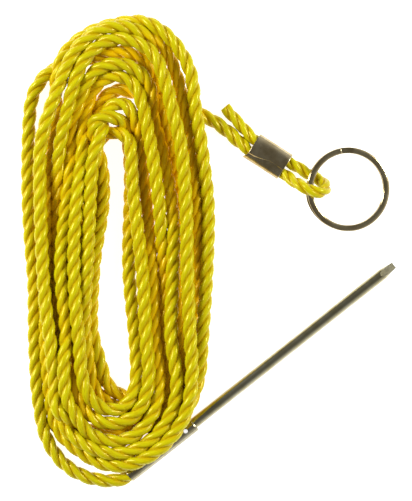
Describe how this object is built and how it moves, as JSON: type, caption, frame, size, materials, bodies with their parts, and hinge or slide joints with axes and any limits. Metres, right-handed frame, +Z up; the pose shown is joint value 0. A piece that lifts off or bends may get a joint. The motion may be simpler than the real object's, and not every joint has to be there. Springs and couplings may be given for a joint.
{
  "type": "rope fish stringer",
  "caption": "Coiled yellow laid-cord fish stringer: a steel needle crimped on one end, a split ring held in a ferrule-crimped eye on the other.",
  "frame": {"origin": "on the table, under the centre of the metal pieces (needle, ferrule and ring) as laid out", "axes": "+Z up from the table; +Y along the hank, from the needle's end towards the ring's end; +X from the hank towards the ring"},
  "size_m": [0.127, 0.1603, 0.012],
  "materials": {
    "cord": "glossy yellow three-strand polymer cord",
    "ferrule_metal": "dull brass-toned plated sheet",
    "ring_metal": "bright plated spring wire, slightly yellowed",
    "needle_metal": "bright plated steel, fine lengthwise polish marks"
  },
  "bodies": {
    "hank": {"cord_hank": "cord", "cord_needle_lead": "cord"},
    "eye_end": {"cord_ring_lead": "cord", "cord_in_ferrule": "cord", "cord_eye": "cord", "cord_tail": "cord", "eye_ferrule": "ferrule_metal"},
    "ring": {"split_ring": "ring_metal"},
    "needle": {"needle_socket": "needle_metal", "needle_shaft": "needle_metal", "cord_in_socket": "cord"}
  },
  "joints": [
    {"name": "eye_end_swing", "type": "hinge", "parent": "hank", "child": "eye_end", "pos_m": [-0.02189, 0.06688, 0.0023], "axis": [0, 0, 1], "range_deg": [-25, 30]},
    {"name": "ring_swing", "type": "hinge", "parent": "eye_end", "child": "ring", "pos_m": [0.0168, 0.0427, 0.0059], "axis": [-0.1805, -0.9836, 0], "range_deg": [0, 140]},
    {"name": "needle_swing", "type": "hinge", "parent": "hank", "child": "needle", "pos_m": [-0.04712, -0.05897, 0.00245], "axis": [0, 0, 1], "range_deg": [-75, 0]}
  ]
}
